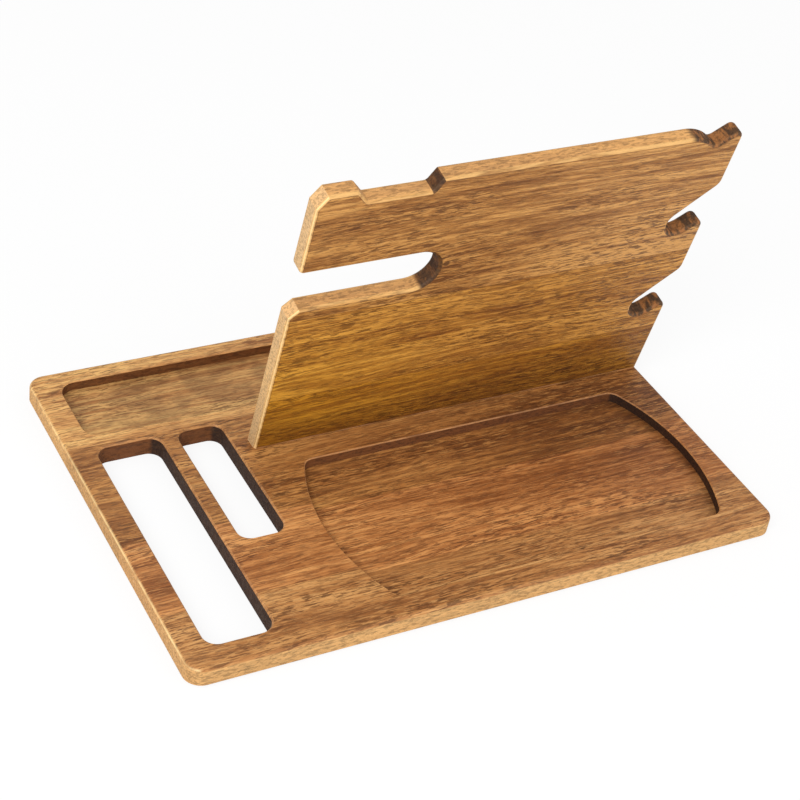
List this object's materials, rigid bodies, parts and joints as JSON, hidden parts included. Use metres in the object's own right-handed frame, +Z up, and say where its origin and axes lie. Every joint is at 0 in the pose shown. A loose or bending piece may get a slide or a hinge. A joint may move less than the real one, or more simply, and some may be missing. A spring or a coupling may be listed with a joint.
{
  "type": "desk organiser",
  "caption": "Low wooden desk organiser: flat base board with milled trays and slots, and a forward-leaning contoured upright with a watch arm and hooks.",
  "frame": {"origin": "centre of the base board's footprint, on the surface that the organiser stands on", "axes": "+X to the right along the staves and the longest side, +Y to the back, +Z up and the shortest side; the upright leans towards -Y"},
  "size_m": [0.293, 0.206, 0.1665],
  "materials": {
    "base_rear_wood": "oiled, pale yellow brown",
    "base_groove_wood": "oiled, dark brown",
    "base_middle_wood": "oiled, reddish brown",
    "base_front_wood": "oiled, mid brown",
    "upright_lower_wood": "oiled, golden brown",
    "upright_centre_wood": "oiled, golden brown",
    "upright_upper_wood": "oiled, mid brown"
  },
  "bodies": {
    "base": {"base_rear_stave": "base_rear_wood", "base_groove_stave": "base_groove_wood", "base_middle_stave": "base_middle_wood", "base_middle_stave_left_end": "base_middle_wood", "base_front_stave": "base_front_wood"},
    "upright": {"upright_lower_stave": "upright_lower_wood", "upright_centre_stave": "upright_centre_wood", "upright_upper_stave": "upright_upper_wood"}
  },
  "joints": [
    {"name": "upright_lift", "type": "slide", "parent": "base", "child": "upright", "axis": [0, -0.2164, 0.9763], "range_m": [0, 0.04]}
  ]
}
